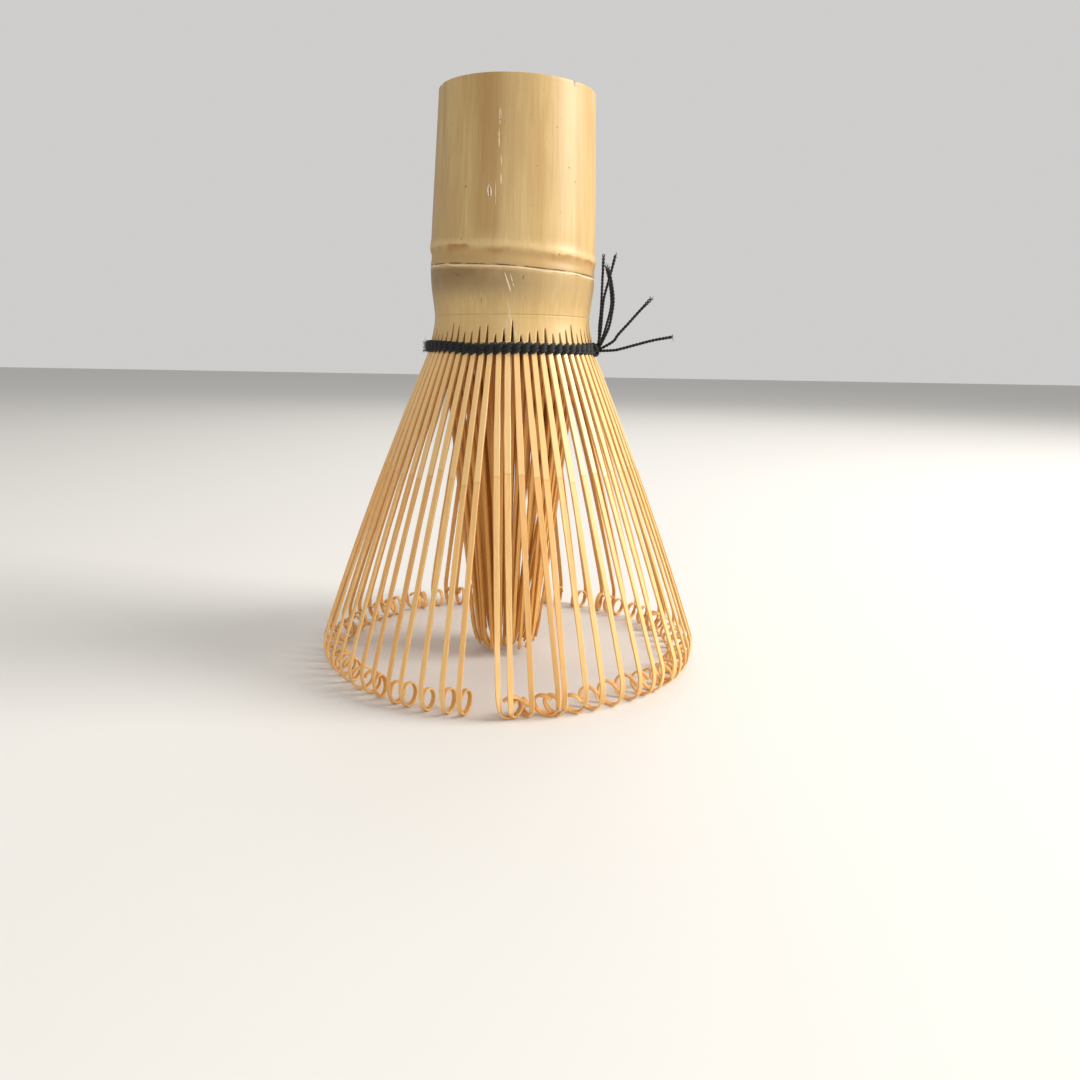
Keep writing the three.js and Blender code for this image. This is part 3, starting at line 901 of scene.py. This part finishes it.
def culm_skin(fibre, speckle):
    """The culm's outer skin: yellow tan with fibre streaks, brown patches under the node ring,
    an olive band down to the sheath scar and a greyer one below it, and a few old scratches."""
    made, n, shader = material("culm_skin")
    place = n.add("ShaderNodeTexCoord").outputs["Object"]
    depth = n.attribute("depth")
    across = n.attribute("across")
    below_node = n.attribute("below_node")
    below_scar = n.attribute("below_scar")
    grain = use_group(n, fibre, Vector=place, Across=2400.0, Along=30.0)
    blotch = n.noise(n.stretched(place, (1.0, 1.0, 0.3)), 100.0, 3.0, 0.55)
    base = n.mix(n.step(blotch, 0.35, 0.68), srgb(193, 161, 104), srgb(207, 177, 119))
    base = n.mix(n.step(grain["Streak"], 0.30, 0.72), n.mix(0.3, base, srgb(156, 116, 60)), base)
    base = n.tint(base, n.step(grain["Tone"], 0.50, 0.68), 0.55, srgb(176, 136, 78))
    shade = n.times(n.step(across, -7.5, -4.5), n.step(across, -1.2, -3.2))
    shade = n.times(shade, n.step(below_node, 0.5, -3.0))
    base = n.tint(base, shade, 0.5, srgb(160, 118, 60))
    rough_spot = n.noise(place, 700.0, 3.0)
    between = n.times(n.step(below_node, 0.1, 0.8), n.step(below_scar, 0.1, -0.3))
    base = n.tint(base, between, 0.62, srgb(176, 140, 84))
    # Painted highlight: a lighter line along the crest of the node ridge.
    crest_highlight = n.times(n.step(below_node, -1.3, -0.35), n.step(below_node, 0.25, -0.05))
    base = n.tint(base, crest_highlight, 0.28, srgb(236, 208, 152))
    wander = n.plus(below_node, n.step(n.noise(place, 320.0, 3.0), 0.3, 0.7, -0.3, 0.3))
    stain = n.times(n.step(wander, 0.0, 0.35), n.step(wander, 1.4, 0.4))
    patchy = n.step(n.noise(n.stretched(place, (1.0, 1.0, 0.5)), 230.0, 4.0, 0.6), 0.40, 0.72)
    left_patch = n.times(n.step(across, -6.5, -8.0), n.step(across, -12.5, -11.0))
    patchy = n.math("MAXIMUM", patchy, left_patch)
    stain = n.times(stain, patchy)
    base = n.tint(base, stain, 0.75, srgb(158, 104, 50))
    under = n.times(n.step(below_scar, 0.1, 0.7), n.step(depth, 34.4, 30.4))
    under = n.times(under, n.step(across, 11.0, -2.0, 0.45, 1.0))
    base = n.tint(base, under, 0.85, srgb(160, 133, 90))
    damp = n.times(n.step(n.noise(place, 150.0, 3.0), 0.3, 0.6), n.step(across, 3.0, -6.0))
    damp = n.times(damp, n.times(under, n.step(depth, 33.4, 29.0)))
    damp = n.times(damp, n.step(across, -38.0, -22.0))
    base = n.tint(base, damp, 0.75, srgb(132, 102, 60))
    base = n.tint(base, n.step(depth, 33.0, 36.5), 0.4, srgb(220, 184, 118))
    ragged = n.plus(below_scar, n.step(n.noise(place, 420.0, 3.0), 0.3, 0.7, -0.1, 0.12))
    lip = n.times(n.step(ragged, -0.15, -0.08), n.step(ragged, 0.16, 0.08))
    base = n.tint(base, lip, 0.8, srgb(232, 208, 174))
    # Painted shade: dark brown in the groove just above the scar's lip.
    gap_shade = n.times(n.step(below_scar, -0.42, -0.28), n.step(below_scar, -0.12, -0.2))
    gap_shade = n.times(gap_shade, n.step(n.noise(place, 380.0, 2.0), 0.36, 0.55))
    base = n.tint(base, gap_shade, 0.85, srgb(70, 42, 22))
    dots = use_group(n, speckle, Vector=place, Scale=1300.0, Threshold=0.70, Mask=0.8)
    base = n.mix(dots["Amount"], base, srgb(110, 76, 40))
    marks = [old_mark(n, across, depth, *mark) for mark in OLD_MARKS]
    pale, dark = marks[0][0], marks[0][1]
    for light_part, dark_part in marks[1:]:
        pale = n.math("MAXIMUM", pale, light_part)
        dark = n.math("MAXIMUM", dark, dark_part)
    broken = n.step(n.noise(place, 1700.0, 2.0), 0.3, 0.5)
    pale = n.times(pale, broken)
    base = n.tint(base, pale, 0.85, srgb(250, 236, 206))
    base = n.tint(base, dark, 0.8, srgb(110, 74, 40))
    round_culm = n.math("SINE", n.math("DIVIDE", across, 13.2))
    knife = n.math("ABSOLUTE", n.less(depth, n.plus(35.75, n.times(round_culm, 0.14))))
    knife = n.times(n.step(knife, 0.06, 0.02), n.step(n.noise(place, 240.0), 0.46, 0.66))
    knife = n.times(knife, n.step(round_culm, 0.2, -0.4, 0.45, 1.0))
    base = n.tint(base, knife, 0.35, srgb(140, 102, 54))
    n.put(shader.inputs["Base Color"], base)
    n.put(shader.inputs["Roughness"], n.step(grain["Streak"], 0.2, 0.8, 0.40, 0.52))
    shader.inputs["Coat Roughness"].default_value = 0.35
    shader.inputs["Coat Weight"].default_value = 0.1
    height = n.plus(n.times(grain["Streak"], 0.5), n.times(dark, -1.0))
    height = n.plus(height, n.times(rough_spot, 0.3))
    bump(n, shader, height, 0.3, 0.00012)
    return made


# Old marks on the skin: place round from the front and depth of the middle, the lean of the
# line as mm round per mm down, half its length, half the pale width, half the dark width.
OLD_MARKS = [
    (-2.45, 6.6, 0.0, 1.5, 0.16, 0.07),
    (-2.55, 9.9, 0.03, 1.6, 0.09, 0.0),
    (-2.15, 12.9, 0.1, 0.9, 0.07, 0.0),
    (-2.1, 15.6, 0.06, 1.0, 0.09, 0.0),
    (-2.9, 17.6, 0.02, 2.2, 0.05, 0.0),
    (-3.85, 17.4, 0.1, 1.15, 0.36, 0.17),
    (-0.75, 30.6, 0.35, 1.9, 0.11, 0.0),
    (-0.1, 30.3, 0.3, 1.3, 0.07, 0.0),
    (-0.45, 34.6, 0.2, 1.3, 0.05, 0.0),
    (0.05, 37.0, 0.33, 2.4, 0.14, 0.06),
    (-1.05, 37.6, -0.12, 1.7, 0.1, 0.05),
    (1.6, 29.8, -0.1, 0.35, 0.0, 0.13),
    (9.4, 0.9, 0.25, 0.75, 0.0, 0.2),
    (15.2, 1.9, -0.2, 1.1, 0.28, 0.16),
    (-9.6, 29.25, 2.6, 0.42, 0.0, 0.2),
    (-5.0, 33.2, 0.1, 0.6, 0.0, 0.06),
]


def old_mark(n, across, depth, middle, low, lean, half_length, half_pale, half_dark):
    """A spindle along a slanting line: a pale one with a dark one inside it."""
    down = n.less(depth, low)
    aside = n.less(across, n.plus(middle, n.times(down, lean)))
    aside = n.math("ABSOLUTE", aside)
    along = n.math("DIVIDE", n.math("ABSOLUTE", down), half_length)
    room = n.less(1.0, n.times(along, along), clamp=True)

    def spindle(half):
        if not half:
            return 0.0
        reach = n.less(n.times(room, half), aside)
        return n.times(reach, 30.0, clamp=True)

    return spindle(half_pale), spindle(half_dark)


def culm_cut():
    """Cut bamboo: pale pith with darker vessel dots on the end grain, and orange depths where
    little light comes."""
    made, n, shader = material("culm_cut")
    place = n.add("ShaderNodeTexCoord").outputs["Object"]
    long_place = n.stretched(place, (1.0, 1.0, 0.04))
    dots = n.add("ShaderNodeTexVoronoi", {"Vector": long_place, "Scale": 2300.0})
    dot = n.step(dots.outputs["Distance"], 0.36, 0.2)
    vessel = n.times(dot, n.step(n.attribute("depth"), 1.6, 1.0))
    tone = n.noise(place, 160.0, 3.0)
    base = n.mix(n.step(tone, 0.3, 0.7), srgb(206, 170, 112), srgb(226, 196, 142))
    base = n.tint(base, vessel, 0.5, srgb(142, 102, 56))
    base = n.mix(n.step(n.attribute("depth"), 35.5, 36.5), base, srgb(196, 134, 62))
    n.put(shader.inputs["Base Color"], base)
    shader.inputs["Roughness"].default_value = 0.62
    bump(n, shader, n.plus(n.times(vessel, -0.7), n.noise(place, 2200.0, 3.0)), 0.35, 0.00012)
    return made


def tine_material(name, fibre, light, dark, pith, skin_tint):
    """A shaved tine: fibre streaks along its length, its own tone, and glossier tan skin left
    on its outer side above the line where the shaving starts."""
    made, n, shader = material(name)
    uv = n.add("ShaderNodeUVMap").outputs[0]
    split = n.add("ShaderNodeSeparateXYZ", {"Vector": uv})
    along = n.add("ShaderNodeCombineXYZ", {"X": n.times(split.outputs[0], 0.001),
                                           "Z": n.times(split.outputs[1], 0.1)})
    grain = use_group(n, fibre, Vector=along.outputs[0], Across=5200.0, Along=260.0)
    base = n.mix(n.attribute("tone"), dark, light)
    base = n.mix(n.step(grain["Streak"], 0.34, 0.7), n.mix(0.4, base, pith), base)
    base = n.tint(base, n.step(grain["Tone"], 0.5, 0.66), 0.3, pith)
    base = n.tint(base, n.attribute("back"), 0.5, pith)
    no_skin = n.less(1.0, n.attribute("skin"))
    # Painted shade: the sides without skin turn deep orange near the thread, where the tines crowd
    # together and light bounces between them.
    sheltered_shade = n.times(n.step(n.attribute("depth"), 66.0, 42.0), no_skin)
    base = n.tint(base, sheltered_shade, 0.7, srgb(172, 100, 30))
    below = n.plus(n.attribute("below_peel"), n.times(grain["Streak"], 0.8))
    above = n.times(n.step(below, 0.5, 0.3), n.attribute("skin"))
    base = n.tint(base, above, 0.7, skin_tint)
    edge = n.times(n.step(below, 0.1, 0.4), n.step(below, 0.75, 0.5))
    edge = n.times(edge, n.attribute("skin"))
    base = n.tint(base, edge, 0.15, srgb(150, 104, 52))
    n.put(shader.inputs["Base Color"], base)
    rough = n.step(grain["Streak"], 0.2, 0.8, 0.46, 0.58)
    n.put(shader.inputs["Roughness"], n.less(rough, n.times(above, 0.18)))
    shader.inputs["Coat Weight"].default_value = 0.12
    shader.inputs["Coat Roughness"].default_value = 0.3
    height = n.plus(grain["Streak"], n.times(above, 1.2))
    bump(n, shader, height, 0.3, 0.0001)
    return made


def thread_material():
    """Black cotton: plies as diagonal stripes round the strand, near-black with grey fibre."""
    made, n, shader = material("black_thread")
    uv = n.add("ShaderNodeUVMap").outputs[0]
    split = n.add("ShaderNodeSeparateXYZ", {"Vector": uv})
    slant = n.plus(n.times(split.outputs[0], 6.2832 * 2), n.times(split.outputs[1], 9.0))
    ply = n.plus(n.times(n.math("SINE", slant), 0.5), 0.5)
    place = n.add("ShaderNodeTexCoord").outputs["Object"]
    fuzz = n.noise(place, 9000.0, 3.0, 0.6)
    base = n.mix(n.times(ply, n.step(fuzz, 0.4, 0.7)), srgb(8, 8, 11), srgb(28, 29, 34))
    n.put(shader.inputs["Base Color"], base)
    shader.inputs["Roughness"].default_value = 0.7
    shader.inputs["Sheen Weight"].default_value = 0.06
    shader.inputs["Sheen Roughness"].default_value = 0.5
    bump(n, shader, n.plus(ply, n.times(fuzz, 0.6)), 0.6, 0.00008)
    return made


# ---- stage

FLOOR_REACH = 2000


def make_stage():
    """A plain pale floor, a soft key light at the right, and weak ones in front and behind."""
    made, _, shader = material("floor_paint")
    shader.inputs["Base Color"].default_value = srgb(226, 224, 220)
    shader.inputs["Roughness"].default_value = 0.7
    corners = FLOOR_REACH * np.array([[-1, -1, 0], [1, -1, 0], [1, 1, 0], [-1, 1, 0]], float)
    floor = build("floor", corners, [[0, 1, 2, 3]], materials=[made])
    world = bpy.data.worlds.new("studio")
    bpy.context.scene.world = world
    world.use_nodes = True
    background = world.node_tree.nodes["Background"]
    background.inputs[0].default_value = (0.94, 0.93, 0.92, 1)
    nodes = Nodes(world.node_tree)
    seen = nodes.add("ShaderNodeLightPath").outputs["Is Camera Ray"]
    nodes.put(background.inputs[1], nodes.step(seen, 0.0, 1.0, 0.5, 0.66))
    for name, place, size, power, colour in (
        ("key", (0.62, -0.08, 0.42), 0.4, 6.8, (1.0, 0.975, 0.93)),
        ("fill", (0.0, -0.6, 0.3), 0.5, 0.85, (1.0, 0.98, 0.96)),
        ("back", (0.1, 0.5, 0.5), 0.5, 1.0, (1.0, 0.98, 0.95)),
    ):
        data = bpy.data.lights.new(name, "AREA")
        data.size = size
        data.energy = power
        data.color = colour
        lamp = add_object(name, data)
        lamp.location = place
        aim = Vector((0, 0, 0.045)) - lamp.location
        lamp.rotation_euler = aim.to_track_quat("-Z", "Y").to_euler()
    bpy.context.scene.view_settings.view_transform = "Standard"


make_camera()
fibre = fibre_group()
speckle = speckle_group()
skin = culm_skin(fibre, speckle)
cut = culm_cut()
outer = tine_material("outer_tine", fibre, srgb(246, 203, 134), srgb(234, 182, 110),
                      srgb(208, 148, 74), srgb(240, 200, 135))
# The inner tines get deeper orange colours than the outer ones: the bamboo's own colour with painted
# light, bounced between the packed tines, added on top.
inner = tine_material("inner_tine", fibre, srgb(240, 190, 106), srgb(224, 164, 78),
                      srgb(198, 128, 46), srgb(200, 150, 90))
thread = thread_material()
make_culm(skin, cut)
make_fingers(skin, cut, notch_depths())
make_outer_staves(outer)
make_inner_staves(inner)
make_binding(thread)
make_knot(thread)
make_tails(thread)
make_fuzz(thread)
make_stage()

bpy.context.view_layer.update()
